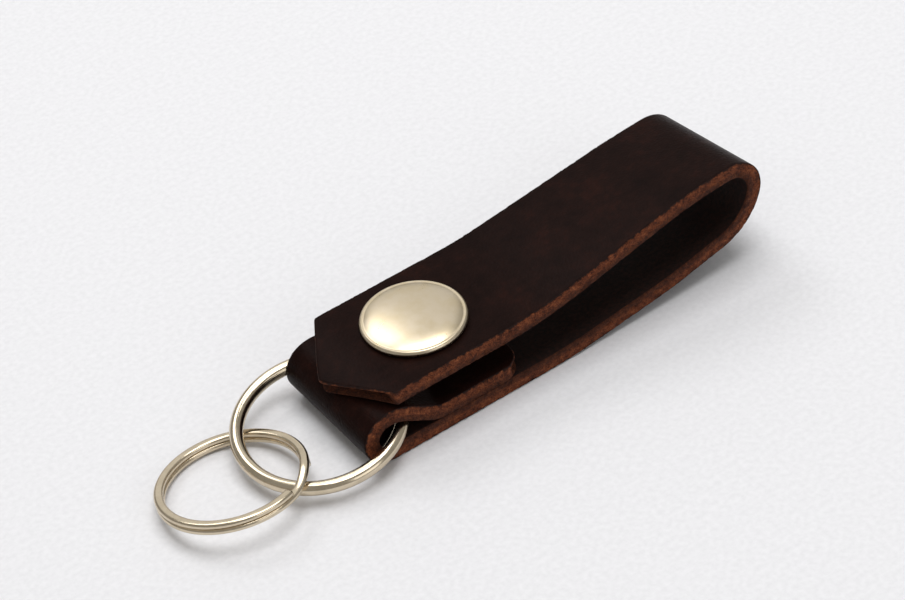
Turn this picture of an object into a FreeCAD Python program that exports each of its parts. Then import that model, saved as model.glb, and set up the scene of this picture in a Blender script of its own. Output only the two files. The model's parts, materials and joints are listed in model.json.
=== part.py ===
"""Leather key fob: belt-loop strap closed by a snap fastener, large ring and small split ring.

Millimetres. The origin is on the snap's axis, on the underside of the strap. +X runs along the
strap towards the belt loop, +Y across it, +Z up. The strap lies on z = 0.
"""
import FreeCAD, Part
import math
import os

from FreeCAD import Vector

# ---------------------------------------------------------------- leather strap
STRAP_WIDTH = 20.0
LEATHER = 2.4            # thickness of the strap
CLEARANCE = 0.15         # between pieces that only lie near each other
HAIR_GAP = 0.04          # between surfaces that touch on the real object
STRAIGHT_FLAP = 8.0      # flat length of the flap on each side of the snap's axis

# front fold, round the large ring
POCKET_HEIGHT = 3.7      # inside height of the fold
FOLD_FRONT_X = -15.8     # outermost face of the fold
FOLD_TOP_FALL = 3.0      # degrees; slope of the fold-back over the ring
MIDDLE_FALL = 58.0       # degrees; slope behind the ring, in the middle of the strap
MIDDLE_SWEEP = 1.0       # hollow side of the bend where the middle meets the base
SIDE_DROP_X = -10.8      # where the fold-back's sides start to come down
SIDE_BEND = 3.0          # radius of the underside there
SIDE_FALL = 31.0         # degrees; slope of the pocket's ceiling at the strap's sides
SIDE_SWEEP = 2.5         # hollow side of the bend where the sides meet the base
FOLD_BACK_END_X = 10.5
FOLD_BACK_CORNER = 3.5   # rounded corners of the fold-back's end
PRESSED_LEATHER = 1.4    # thickness of the fold-back where the stud is set in it

# pointed end of the flap
TIP_X = -15.4
POINT_LENGTH = 5.8       # from the tip back to the two shoulders
TIP_DROP_ANGLE = 15.0    # degrees that the tip curls down
TIP_CURL_RADIUS = 22.0

# belt loop: the near (-Y) side stands a little higher than the far (+Y) side
LOOP_TURN_X = 47.0       # where the tight bend starts on the upper run
UPPER_CORNER_X = 14.0    # where the upper run leaves the flap
UPPER_SHOULDER_X = 40.0  # where the upper run levels off before the bend
UPPER_END_SLOPE = 4.0    # degrees
LOWER_CORNER_X = 18.0    # where the lower run leaves the table
LOWER_SHOULDER_X = 36.0
BEND_TOP_TURN = 108.0    # degrees of the tight bend, the rest of the turn is the wide bend
BEND_RATIO = 2.0         # radius of the wide bend over the radius of the tight bend
RUN_BLEND_RADIUS = 60.0  # gentle bends of the two runs
NEAR_SIDE = {"top": 16.6, "lift": 2.2, "end_slope": 13.0}
FAR_SIDE = {"top": 13.8, "lift": 0.5, "end_slope": 6.0}

# ---------------------------------------------------------------- snap fastener
SHEET = 0.4              # thickness of the cap's metal
THIN_SHEET = 0.3         # thickness of the hidden pieces' metal
CAP_RADIUS = 7.5
CAP_RIM_RADIUS = 0.5     # half the height of the rolled rim
CAP_DOME_HEIGHT = 1.75   # crown above the flap
CAP_BULGE_PLACE = 0.55   # share of the way out where the dome's bulge is measured
CAP_BULGE_FALL = 0.30    # share of the dome's fall by there
BARREL_RADIUS = 1.5
BARREL_FLARE_RADIUS = 2.3
SOCKET_RADIUS = 4.4
SOCKET_HEIGHT = 1.9
SOCKET_MOUTH_RADIUS = 2.8
SOCKET_CORNER = 0.6
SPRING_WIRE_RADIUS = 0.2
SPRING_GAP = 50.0        # degrees missing from the spring's ring
STUD_FLANGE_RADIUS = 3.6
STUD_NECK_RADIUS = 1.9
STUD_HEAD_RADIUS = 2.3
STUD_HEAD_HEIGHT = 0.35
POST_RADIUS = 1.2
POST_FLANGE_RADIUS = 4.0
POST_FLARE_RADIUS = 1.5

# ---------------------------------------------------------------- rings
LARGE_WIRE_RADIUS = 1.0
RING_SIDE_ROOM = 0.4       # between the inside of the ring and the strap's sides
RING_REAR_X = -5.7         # where the ring's wire passes in front of the snap
LARGE_RING_Y = -0.5        # centre
LARGE_RING_SLOPE_X = 0.09  # rise per unit of x
LARGE_RING_SLOPE_Y = 0.07  # rise per unit of y
RING_ROOM = 0.1            # between the ring's wire and the leather that it presses into
RING_LIFT = 0.27           # between the wire and the base where it leaves the near side
CROSSING_ROOM = 0.37       # between the two rings where they cross
SMALL_RING_RADIUS = 10.7   # outside
RING_OVERLAP = 8.5         # how far the two linked rings reach into each other
COIL_WIDTH = 1.35          # radial
COIL_HEIGHT = 0.85
COIL_CORNER = 0.3
SMALL_RING_Y = -1.2
SMALL_RING_SLOPE_X = 0.0
STEP_START = 295.0         # degrees; where the wire starts to climb from the lower coil
STEP_END = 330.0           # where it reaches the upper coil
STEP_SECTIONS = 7
END_GAP = 2.0              # degrees between a coil's end and the step

# ---------------------------------------------------------------- worked-out values
HALF_WIDTH = STRAP_WIDTH / 2
HALF_LEATHER = LEATHER / 2
FOLD_HEIGHT = POCKET_HEIGHT + 2 * LEATHER
FOLD_CENTRE_X = FOLD_FRONT_X + POCKET_HEIGHT / 2 + LEATHER
CURL_FALL = TIP_CURL_RADIUS - math.sqrt(TIP_CURL_RADIUS**2 - (FOLD_CENTRE_X + STRAIGHT_FLAP)**2)
FLAP_UNDERSIDE = FOLD_HEIGHT + CLEARANCE + CURL_FALL
FLAP_TOP = FLAP_UNDERSIDE + LEATHER
STACK_TOP = LEATHER + PRESSED_LEATHER  # seat of the stud in the fold-back
SOCKET_LOW = FLAP_UNDERSIDE - HAIR_GAP - SOCKET_HEIGHT
SPRING_HEIGHT = SOCKET_LOW + THIN_SHEET + HAIR_GAP + SPRING_WIRE_RADIUS
LARGE_RING_MEAN = HALF_WIDTH + RING_SIDE_ROOM + LARGE_WIRE_RADIUS
LARGE_RING_RADIUS = LARGE_RING_MEAN + LARGE_WIRE_RADIUS
LARGE_RING_X = RING_REAR_X - LARGE_RING_MEAN
SMALL_RING_X = LARGE_RING_X - LARGE_RING_RADIUS - SMALL_RING_RADIUS + RING_OVERLAP
SMALL_RING_MEAN = SMALL_RING_RADIUS - COIL_WIDTH / 2


def heading_vector(angle):
    """Unit vector in the XZ plane for an angle in degrees above +X."""
    return Vector(math.cos(math.radians(angle)), 0, math.sin(math.radians(angle)))


class Path:
    """Centre line in the XZ plane, drawn as straight runs and tangent arcs.

    A positive turn bends towards +Z of the direction of travel (anticlockwise from +X to +Z).
    """

    def __init__(self, start, heading):
        self.point = start
        self.heading = heading
        self.pieces = []

    def line(self, length):
        """Add a straight run."""
        end = self.point + heading_vector(self.heading) * length
        self.pieces.append(("line", self.point, end, self.heading, self.heading, None))
        self.point = end
        return self

    def arc(self, radius, turn):
        """Add a tangent arc that turns by the given degrees."""
        side = 1 if turn > 0 else -1
        normal = heading_vector(self.heading + 90 * side)
        centre = self.point + normal * radius
        end_heading = self.heading + turn
        end = centre - heading_vector(end_heading + 90 * side) * radius
        self.pieces.append(("arc", self.point, end, self.heading, end_heading, (centre, radius, side)))
        self.point = end
        self.heading = end_heading
        return self

    def edges(self, offset):
        """Edges of the line that runs at an offset to the left of the path."""
        result = []
        for kind, start, end, first, last, bend in self.pieces:
            a = start + heading_vector(first + 90) * offset
            b = end + heading_vector(last + 90) * offset
            if kind == "line":
                result.append(Part.LineSegment(a, b).toShape())
                continue
            centre, radius, side = bend
            middle = centre - heading_vector((first + last) / 2 + 90 * side) * (radius - side * offset)
            result.append(Part.Arc(a, middle, b).toShape())
        return result

    def ribbon_wire(self, y, first_half=HALF_LEATHER, second_half=HALF_LEATHER):
        """Closed outline of the strap's thickness about the path, moved to a given y."""
        left = self.edges(first_half)
        right = self.edges(-second_half)
        a = left[0].Vertexes[0].Point
        b = right[0].Vertexes[0].Point
        c = left[-1].Vertexes[-1].Point
        d = right[-1].Vertexes[-1].Point
        closing = [Part.LineSegment(c, d).toShape(), Part.LineSegment(b, a).toShape()]
        wire = Part.Wire(Part.__sortEdges__(left + [closing[0]] + right[::-1] + [closing[1]]))
        wire.translate(Vector(0, y, 0))
        return wire


def rounded_corner(path, corner, next_point, radius):
    """Continue a path to a corner, round it, and stop at the end of the round."""
    away = next_point - corner
    next_heading = math.degrees(math.atan2(away.z, away.x))
    turn = (next_heading - path.heading + 180) % 360 - 180
    tangent = radius * math.tan(math.radians(abs(turn) / 2))
    path.line((corner - path.point).Length - tangent)
    path.arc(radius, turn)
    return path


def upper_run(side):
    """Path of the upper run, from the snap's axis to the start of the tight bend."""
    centre_height = FLAP_UNDERSIDE + HALF_LEATHER
    turn_point = Vector(LOOP_TURN_X, 0, side["top"])
    shoulder = turn_point - heading_vector(UPPER_END_SLOPE) * (
        (LOOP_TURN_X - UPPER_SHOULDER_X) / math.cos(math.radians(UPPER_END_SLOPE)))
    corner = Vector(UPPER_CORNER_X, 0, centre_height)
    path = Path(Vector(0, 0, centre_height), 0.0)
    rounded_corner(path, corner, shoulder, RUN_BLEND_RADIUS)
    rounded_corner(path, shoulder, turn_point, RUN_BLEND_RADIUS)
    path.line((turn_point - path.point).Length)
    return path


def bend_run(side):
    """Path of the round end: a tight bend, then a wide one that lands on the lower run's line.

    The tight radius follows from the height that the two bends have to fall together.
    """
    start = Vector(LOOP_TURN_X, 0, side["top"])
    slope = math.radians(side["end_slope"])
    first = math.radians(UPPER_END_SLOPE)
    middle = math.radians(UPPER_END_SLOPE - BEND_TOP_TURN)
    fall = (math.cos(middle) - math.cos(first)) - BEND_RATIO * (math.cos(slope) + math.cos(middle))
    reach = (math.sin(first) - math.sin(middle)) + BEND_RATIO * (math.sin(middle) + math.sin(slope))
    line_height = HALF_LEATHER + side["lift"] + (start.x - LOWER_SHOULDER_X) * math.tan(slope)
    radius = (line_height - start.z) / (fall - reach * math.tan(slope))
    path = Path(start, UPPER_END_SLOPE)
    path.arc(radius, -BEND_TOP_TURN)
    path.arc(radius * BEND_RATIO, -(180 + UPPER_END_SLOPE - side["end_slope"] - BEND_TOP_TURN))
    return path


def lower_run(side):
    """Path of the lower run, from the end of the bend to the start of the front fold."""
    start = bend_run(side).point
    shoulder = Vector(LOWER_SHOULDER_X, 0, HALF_LEATHER + side["lift"])
    corner = Vector(LOWER_CORNER_X, 0, HALF_LEATHER)
    path = Path(start, 180 + side["end_slope"])
    rounded_corner(path, shoulder, corner, RUN_BLEND_RADIUS)
    rounded_corner(path, corner, Vector(0, 0, HALF_LEATHER), RUN_BLEND_RADIUS)
    path.line(path.point.x - FOLD_CENTRE_X)
    return path


def leaning_strap(run):
    """Solid of a run whose near and far sides follow different paths."""
    near = run(NEAR_SIDE).ribbon_wire(-HALF_WIDTH)
    far = run(FAR_SIDE).ribbon_wire(HALF_WIDTH)
    return Part.makeLoft([near, far], True, True)


def level_strap(wire):
    """Solid of a run that is the same right across the strap, from its outline at y = 0."""
    face = Part.Face(wire)
    face.translate(Vector(0, -HALF_WIDTH, 0))
    return face.extrude(Vector(0, STRAP_WIDTH, 0))


def fold_arc():
    """Path of the front fold, from the end of the lower run to the top of the pocket."""
    path = Path(Vector(FOLD_CENTRE_X, 0, HALF_LEATHER), 180.0)
    return path.arc(POCKET_HEIGHT / 2 + HALF_LEATHER, -(180 + FOLD_TOP_FALL))


def fold_back_path(drop_x, bend, fall, sweep):
    """Path of the fold-back's underside: over the ring, down, and flat along the base."""
    start = fold_arc().point - heading_vector(90 - FOLD_TOP_FALL) * HALF_LEATHER
    path = Path(start, -FOLD_TOP_FALL)
    path.line((drop_x - start.x) / math.cos(math.radians(FOLD_TOP_FALL)))
    path.arc(bend, FOLD_TOP_FALL - fall)
    sweep_radius = sweep + LEATHER
    drop_in_sweep = sweep_radius * (1 - math.cos(math.radians(fall)))
    path.line((path.point.z - LEATHER - drop_in_sweep) / math.sin(math.radians(fall)))
    path.arc(sweep_radius, fall)
    return path.line(FOLD_BACK_END_X - path.point.x)


def fold_back():
    """Fold-back: held up by the ring in the middle, down on the base sooner at the sides."""
    middle = fold_back_path(RING_REAR_X, LARGE_WIRE_RADIUS + 2 * RING_ROOM, MIDDLE_FALL, MIDDLE_SWEEP)
    side = fold_back_path(SIDE_DROP_X, SIDE_BEND, SIDE_FALL, SIDE_SWEEP)
    outlines = [side.ribbon_wire(-HALF_WIDTH, LEATHER, 0), middle.ribbon_wire(0, LEATHER, 0),
                side.ribbon_wire(HALF_WIDTH, LEATHER, 0)]
    layer = Part.makeLoft(outlines, True, True)
    rounding = Part.makeBox(FOLD_BACK_END_X - FOLD_FRONT_X, STRAP_WIDTH, 2 * FOLD_HEIGHT,
                            Vector(FOLD_FRONT_X, -HALF_WIDTH, 0))
    ends = [edge for edge in rounding.Edges
            if edge.BoundBox.ZLength > FOLD_HEIGHT and edge.BoundBox.XMax > FOLD_BACK_END_X - HAIR_GAP]
    return layer.common(rounding.makeFillet(FOLD_BACK_CORNER, ends))


def drill(shape, radius, low, high):
    """Cut a round hole on the snap's axis between two heights."""
    return shape.cut(Part.makeCylinder(radius, high - low, Vector(0, 0, low)))


def strap_base():
    """Lower run, front fold and fold-back, with the post's hole and the ring's impression."""
    fold = level_strap(fold_arc().ribbon_wire(0))
    shape = leaning_strap(lower_run).fuse([fold, fold_back()]).removeSplitter()
    shape = shape.cut(ring_solid(LARGE_WIRE_RADIUS + RING_ROOM))
    shape = drill(shape, POST_RADIUS + HAIR_GAP, -LEATHER, FOLD_HEIGHT)
    shape = drill(shape, POST_FLANGE_RADIUS + HAIR_GAP, -LEATHER, THIN_SHEET)
    shape = drill(shape, SOCKET_RADIUS + 2 * HAIR_GAP, SOCKET_LOW - 2 * HAIR_GAP, FOLD_HEIGHT)
    return drill(shape, STUD_FLANGE_RADIUS + HAIR_GAP, STACK_TOP, FOLD_HEIGHT)


def strap_bend():
    """Round end of the belt loop."""
    return leaning_strap(bend_run)


def strap_flap():
    """Upper run and pointed flap, with the barrel's hole."""
    curl = Path(Vector(0, 0, FLAP_UNDERSIDE + HALF_LEATHER), 180.0)
    curl.line(STRAIGHT_FLAP)
    curl.arc(TIP_CURL_RADIUS, TIP_DROP_ANGLE)
    curl.line((curl.point.x - TIP_X) / math.cos(math.radians(TIP_DROP_ANGLE)))
    flap = level_strap(curl.ribbon_wire(0))
    shape = leaning_strap(upper_run).fuse(flap).removeSplitter()
    shoulder_x = TIP_X + POINT_LENGTH
    outline = [Vector(TIP_X, 0, 0), Vector(shoulder_x, -HALF_WIDTH, 0),
               Vector(2 * LOOP_TURN_X, -HALF_WIDTH, 0), Vector(2 * LOOP_TURN_X, HALF_WIDTH, 0),
               Vector(shoulder_x, HALF_WIDTH, 0)]
    trim = Part.Face(Part.makePolygon(outline + outline[:1])).extrude(Vector(0, 0, 3 * FOLD_HEIGHT))
    return drill(shape.common(trim), BARREL_RADIUS + HAIR_GAP, 0, 2 * FLAP_TOP)


def turned(points):
    """Solid of revolution about the snap's axis from an (radius, height) outline."""
    corners = [Vector(r, 0, z) for r, z in points]
    wire = Part.makePolygon(corners + corners[:1])
    return Part.Face(wire).revolve(Vector(0, 0, 0), Vector(0, 0, 1), 360)


def turned_wire(edges):
    """Solid of revolution about the snap's axis from connected edges."""
    face = Part.Face(Part.Wire(Part.__sortEdges__(edges)))
    return face.revolve(Vector(0, 0, 0), Vector(0, 0, 1), 360)


def snap_cap():
    """Domed shell with a rolled rim, resting on the flap."""
    base = FLAP_TOP + HAIR_GAP
    rim_centre = Vector(CAP_RADIUS - CAP_RIM_RADIUS, 0, base + CAP_RIM_RADIUS)
    shoulder_out = Vector(rim_centre.x, 0, rim_centre.z + CAP_RIM_RADIUS)
    shoulder_in = Vector(rim_centre.x, 0, shoulder_out.z - SHEET)
    crown = base + CAP_DOME_HEIGHT
    mid_radius = rim_centre.x * CAP_BULGE_PLACE
    mid_fall = (crown - shoulder_out.z) * CAP_BULGE_FALL
    outer = Part.Arc(Vector(0, 0, crown), Vector(mid_radius, 0, crown - mid_fall), shoulder_out).toShape()
    inner = Part.Arc(Vector(0, 0, crown - SHEET), Vector(mid_radius, 0, crown - SHEET - mid_fall),
                     shoulder_in).toShape()
    edges = [outer, inner, Part.LineSegment(Vector(0, 0, crown), Vector(0, 0, crown - SHEET)).toShape(),
             Part.LineSegment(shoulder_out, shoulder_in).toShape()]
    dome = turned_wire(edges)
    rim = Part.makeTorus(rim_centre.x, CAP_RIM_RADIUS, Vector(0, 0, rim_centre.z))
    return dome.fuse(rim).removeSplitter()


def cap_barrel():
    """Disc inside the cap and tube through the flap, flared under the socket's web."""
    flange = CAP_RADIUS - 2 * CAP_RIM_RADIUS - CLEARANCE
    top = FLAP_TOP + HAIR_GAP + THIN_SHEET
    web_under = FLAP_UNDERSIDE - THIN_SHEET - 2 * HAIR_GAP
    flare = web_under - THIN_SHEET
    bore = BARREL_RADIUS - THIN_SHEET
    return turned([(bore, top), (flange, top), (flange, top - THIN_SHEET), (BARREL_RADIUS, top - THIN_SHEET),
                   (BARREL_RADIUS, web_under), (BARREL_FLARE_RADIUS, web_under),
                   (BARREL_FLARE_RADIUS, flare), (bore, flare)])


def snap_socket():
    """Drawn shell under the flap: web, wall and a lip that keeps the spring."""
    top = FLAP_UNDERSIDE - HAIR_GAP
    hole = BARREL_RADIUS + HAIR_GAP
    inner = SOCKET_RADIUS - THIN_SHEET
    lip_top = SOCKET_LOW + THIN_SHEET
    return turned([(hole, top), (SOCKET_RADIUS - SOCKET_CORNER, top), (SOCKET_RADIUS, top - SOCKET_CORNER),
                   (SOCKET_RADIUS, SOCKET_LOW), (SOCKET_MOUTH_RADIUS, SOCKET_LOW),
                   (SOCKET_MOUTH_RADIUS, lip_top), (inner, lip_top), (inner, top - SOCKET_CORNER),
                   (inner - SOCKET_CORNER + THIN_SHEET, top - THIN_SHEET), (hole, top - THIN_SHEET)])


def socket_spring():
    """Split wire ring round the stud's neck, with a leg that rests on the socket's lip."""
    mean = STUD_NECK_RADIUS + SPRING_WIRE_RADIUS + 2 * HAIR_GAP
    section = Part.Face(Part.Wire(Part.makeCircle(SPRING_WIRE_RADIUS, Vector(mean, 0, SPRING_HEIGHT),
                                                  Vector(0, 1, 0))))
    ring = section.revolve(Vector(0, 0, 0), Vector(0, 0, 1), 360 - SPRING_GAP)
    leg_length = (SOCKET_RADIUS - THIN_SHEET + SOCKET_MOUTH_RADIUS) / 2 - mean
    leg = Part.makeCylinder(SPRING_WIRE_RADIUS, leg_length, Vector(mean, 0, SPRING_HEIGHT), Vector(1, 0, 0))
    return ring.fuse(leg).removeSplitter()


def snap_stud():
    """Drawn male half: flange on the fold-back, long neck and a head above the spring."""
    low = STACK_TOP + HAIR_GAP
    neck_top = SPRING_HEIGHT + SPRING_WIRE_RADIUS + HAIR_GAP
    top = neck_top + STUD_HEAD_HEIGHT
    hole = POST_RADIUS + HAIR_GAP
    bore = STUD_NECK_RADIUS - THIN_SHEET
    bulge = (STUD_HEAD_RADIUS - STUD_NECK_RADIUS) / 2
    return turned([(hole, low), (STUD_FLANGE_RADIUS, low), (STUD_FLANGE_RADIUS, low + THIN_SHEET),
                   (STUD_NECK_RADIUS, low + THIN_SHEET), (STUD_NECK_RADIUS, neck_top),
                   (STUD_HEAD_RADIUS, neck_top + bulge), (STUD_HEAD_RADIUS, top - bulge),
                   (STUD_HEAD_RADIUS - bulge, top), (hole, top), (hole, top - THIN_SHEET),
                   (bore, top - THIN_SHEET), (bore, low + THIN_SHEET), (hole, low + THIN_SHEET)])


def stud_post():
    """Closed post from the underside through both layers, flared inside the stud."""
    flare = STACK_TOP + THIN_SHEET + 2 * HAIR_GAP
    top = flare + THIN_SHEET
    bore = POST_RADIUS - THIN_SHEET
    seat = THIN_SHEET - HAIR_GAP
    return turned([(0, 0), (POST_FLANGE_RADIUS, 0), (POST_FLANGE_RADIUS, seat),
                   (POST_RADIUS, seat), (POST_RADIUS, flare), (POST_FLARE_RADIUS, flare),
                   (POST_FLARE_RADIUS, top), (bore, top), (bore, seat), (0, seat)])


def tilted(shape, centre, slope_x, slope_y):
    """Lay a shape made about the origin onto a plane that rises by two slopes."""
    normal = Vector(-slope_x, -slope_y, 1)
    turn = FreeCAD.Rotation(Vector(0, 0, 1), normal)
    shape.Placement = FreeCAD.Placement(centre, turn)
    return shape


def large_ring_height(x, y):
    """Height of the large ring's plane. Its wire lies on the leather where it leaves the near side."""
    exit_x = LARGE_RING_X + math.sqrt(LARGE_RING_MEAN**2 - (HALF_WIDTH + LARGE_RING_Y)**2)
    exit_height = LEATHER + LARGE_WIRE_RADIUS + RING_LIFT
    return exit_height + LARGE_RING_SLOPE_X * (x - exit_x) + LARGE_RING_SLOPE_Y * (y + HALF_WIDTH)


def large_ring_centre():
    """Centre of the large ring."""
    return Vector(LARGE_RING_X, LARGE_RING_Y, large_ring_height(LARGE_RING_X, LARGE_RING_Y))


def ring_solid(wire_radius):
    """Solid along the large ring's wire, of any thickness."""
    ring = Part.makeTorus(LARGE_RING_MEAN, wire_radius)
    return tilted(ring, large_ring_centre(), LARGE_RING_SLOPE_X, LARGE_RING_SLOPE_Y)


def large_ring():
    """Ring of round wire, through the fold."""
    return ring_solid(LARGE_WIRE_RADIUS)


def coil_section(angle, height):
    """Rounded section of the split ring's wire, at an angle about its axis and a height."""
    w = COIL_WIDTH / 2
    h = COIL_HEIGHT / 2
    c = COIL_CORNER
    k = c * (1 - math.sqrt(0.5))
    r = SMALL_RING_MEAN

    def at(x, z):
        return Vector(r + x, 0, height + z)

    edges = [Part.LineSegment(at(-w + c, h), at(w - c, h)).toShape(),
             Part.Arc(at(w - c, h), at(w - k, h - k), at(w, h - c)).toShape(),
             Part.LineSegment(at(w, h - c), at(w, -h + c)).toShape(),
             Part.Arc(at(w, -h + c), at(w - k, -h + k), at(w - c, -h)).toShape(),
             Part.LineSegment(at(w - c, -h), at(-w + c, -h)).toShape(),
             Part.Arc(at(-w + c, -h), at(-w + k, -h + k), at(-w, -h + c)).toShape(),
             Part.LineSegment(at(-w, -h + c), at(-w, h - c)).toShape(),
             Part.Arc(at(-w, h - c), at(-w + k, h - k), at(-w + c, h)).toShape()]
    wire = Part.Wire(edges)
    wire.rotate(Vector(0, 0, 0), Vector(0, 0, 1), angle)
    return wire


def coil(start, end, height):
    """One flat turn of the split ring between two angles."""
    face = Part.Face(coil_section(start, height))
    return face.revolve(Vector(0, 0, 0), Vector(0, 0, 1), end - start)


def coil_step(low, high):
    """Stretch of the split ring where the wire climbs from the lower coil to the upper one."""
    sections = []
    for i in range(STEP_SECTIONS):
        s = i / (STEP_SECTIONS - 1)
        rise = s * s * (3 - 2 * s)
        sections.append(coil_section(STEP_START + (STEP_END - STEP_START) * s, low + (high - low) * rise))
    return Part.makeLoft(sections, True)


def ring_crossings():
    """Plan positions where the two rings cross, the near one first."""
    dx = SMALL_RING_X - LARGE_RING_X
    dy = SMALL_RING_Y - LARGE_RING_Y
    apart = math.hypot(dx, dy)
    along = (LARGE_RING_MEAN**2 - SMALL_RING_MEAN**2 + apart**2) / (2 * apart)
    across = math.sqrt(LARGE_RING_MEAN**2 - along**2)
    foot = (LARGE_RING_X + dx / apart * along, LARGE_RING_Y + dy / apart * along)
    side = (-dy / apart * across, dx / apart * across)
    return [(foot[0] + side[0], foot[1] + side[1]), (foot[0] - side[0], foot[1] - side[1])]


def small_ring_plane():
    """Centre and slope across the strap of the small ring.

    At the near crossing its single wire, at the step, lies over the large ring. At the far
    crossing both its coils lie under the large ring.
    """
    near, far = ring_crossings()
    over = large_ring_height(*near) + LARGE_WIRE_RADIUS + COIL_HEIGHT / 2 + CROSSING_ROOM
    under = large_ring_height(*far) - LARGE_WIRE_RADIUS - COIL_HEIGHT - CROSSING_ROOM
    slope_y = (under - over - SMALL_RING_SLOPE_X * (far[0] - near[0])) / (far[1] - near[1])
    height = over + SMALL_RING_SLOPE_X * (SMALL_RING_X - near[0]) + slope_y * (SMALL_RING_Y - near[1])
    return Vector(SMALL_RING_X, SMALL_RING_Y, height), slope_y


def small_split_ring():
    """Key ring: one flat wire in two coils with a step between them."""
    level = (COIL_HEIGHT + HAIR_GAP) / 2
    lower = coil(STEP_END - 360 + END_GAP, STEP_START, -level)
    upper = coil(STEP_END, STEP_START + 360 - END_GAP, level)
    ring = lower.fuse([coil_step(-level, level), upper]).removeSplitter()
    centre, slope_y = small_ring_plane()
    return tilted(ring, centre, SMALL_RING_SLOPE_X, slope_y)


NODES = [strap_base, strap_bend, strap_flap, snap_cap, cap_barrel, snap_socket, socket_spring, snap_stud,
         stud_post, large_ring, small_split_ring]

os.makedirs("parts", exist_ok=True)
for make in NODES:
    shape = make()
    if len(shape.Solids) == 1:
        shape = shape.Solids[0]
    box = shape.BoundBox
    print(f"{make.__name__:18s} solids {len(shape.Solids)} valid {shape.isValid()} volume {shape.Volume:9.2f}"
          f"  x {box.XMin:.2f}..{box.XMax:.2f}  y {box.YMin:.2f}..{box.YMax:.2f}"
          f"  z {box.ZMin:.2f}..{box.ZMax:.2f}")
    shape.exportStep(f"parts/{make.__name__}.step")
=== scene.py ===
"""Leather belt-loop key fob round its CAD frame: one folded strap, a cap snap and two rings.

Lengths are millimetres in the frame's own axes, and become metres when a mesh is made. Every
surface is worked out as whole numpy arrays, and each finish is a small procedural material.
"""
import json
import logging
import math
from collections.abc import Callable
from dataclasses import dataclass, field
from enum import Enum
from functools import partial

import bmesh
import bpy
import numpy as np
from mathutils import Matrix, Vector


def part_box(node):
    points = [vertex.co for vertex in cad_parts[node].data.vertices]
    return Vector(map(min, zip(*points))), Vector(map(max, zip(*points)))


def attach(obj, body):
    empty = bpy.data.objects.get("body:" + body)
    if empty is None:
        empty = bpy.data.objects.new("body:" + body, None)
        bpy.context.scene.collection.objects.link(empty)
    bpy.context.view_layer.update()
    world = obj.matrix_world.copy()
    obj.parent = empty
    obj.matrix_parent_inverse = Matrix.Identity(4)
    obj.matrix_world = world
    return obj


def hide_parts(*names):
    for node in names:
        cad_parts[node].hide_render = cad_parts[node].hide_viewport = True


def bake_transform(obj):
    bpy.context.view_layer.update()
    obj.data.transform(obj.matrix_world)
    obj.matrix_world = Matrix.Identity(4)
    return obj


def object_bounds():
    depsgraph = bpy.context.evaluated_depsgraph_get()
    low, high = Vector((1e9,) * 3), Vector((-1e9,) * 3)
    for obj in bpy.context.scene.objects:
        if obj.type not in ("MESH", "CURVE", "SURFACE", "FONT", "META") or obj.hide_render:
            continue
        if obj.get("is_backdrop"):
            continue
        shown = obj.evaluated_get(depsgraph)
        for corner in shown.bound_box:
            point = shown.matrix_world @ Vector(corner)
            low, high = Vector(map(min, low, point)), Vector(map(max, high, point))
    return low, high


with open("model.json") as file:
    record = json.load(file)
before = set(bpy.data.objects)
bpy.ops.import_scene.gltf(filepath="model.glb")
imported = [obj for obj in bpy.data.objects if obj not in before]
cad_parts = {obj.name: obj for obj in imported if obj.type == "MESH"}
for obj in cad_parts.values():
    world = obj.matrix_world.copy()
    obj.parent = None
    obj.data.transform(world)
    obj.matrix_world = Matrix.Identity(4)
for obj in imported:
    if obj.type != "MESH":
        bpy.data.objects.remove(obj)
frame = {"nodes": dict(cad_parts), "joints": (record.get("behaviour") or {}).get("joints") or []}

LOG = logging.getLogger("key_fob")
MM = 0.001
TINY = 1e-6
Array = np.ndarray
Material = bpy.types.Material
Piece = bpy.types.Object
Socket = bpy.types.NodeSocket
CAD_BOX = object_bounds()


# ------------------------------------------------------------------ small helpers
def box_mm(node: str) -> tuple[Array, Array]:
    """Lowest and highest corner of a CAD node, in millimetres."""
    low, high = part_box(node)
    return np.array(low) / MM, np.array(high) / MM


def linear(hex_colour: str) -> tuple[float, float, float, float]:
    """Turn an sRGB hex colour into Blender's linear one.

    Args:
        hex_colour: six hex digits, with or without a leading hash sign.

    Returns:
        Linear red, green, blue and an alpha of 1.
    """
    digits = hex_colour.lstrip("#")
    parts = [int(digits[i:i + 2], 16) / 255 for i in (0, 2, 4)]
    r, g, b = [c / 12.92 if c <= 0.04045 else ((c + 0.055) / 1.055) ** 2.4 for c in parts]
    return (r, g, b, 1.0)


def smooth(t: Array) -> Array:
    """Ease from 0 to 1: 3 t squared minus 2 t cubed, with t held between 0 and 1."""
    t = np.clip(t, 0.0, 1.0)
    return t * t * (3 - 2 * t)


class End(Enum):
    """How one end of a strap piece is finished."""

    EDGE = "rounded outside edge"
    JOINT = "crisp line where the next piece begins"


# ------------------------------------------------------------------ materials
def feed(tree: bpy.types.NodeTree, node: bpy.types.Node, inputs: dict) -> None:
    """Set a node's sockets to values, or link them to other sockets.

    Args:
        tree: the material's node tree.
        node: the node to feed.
        inputs: socket name, or its number where names repeat, to a value or to a socket.
    """
    for name, value in inputs.items():
        if isinstance(value, Socket):
            tree.links.new(value, node.inputs[name])
        else:
            node.inputs[name].default_value = value


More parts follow.
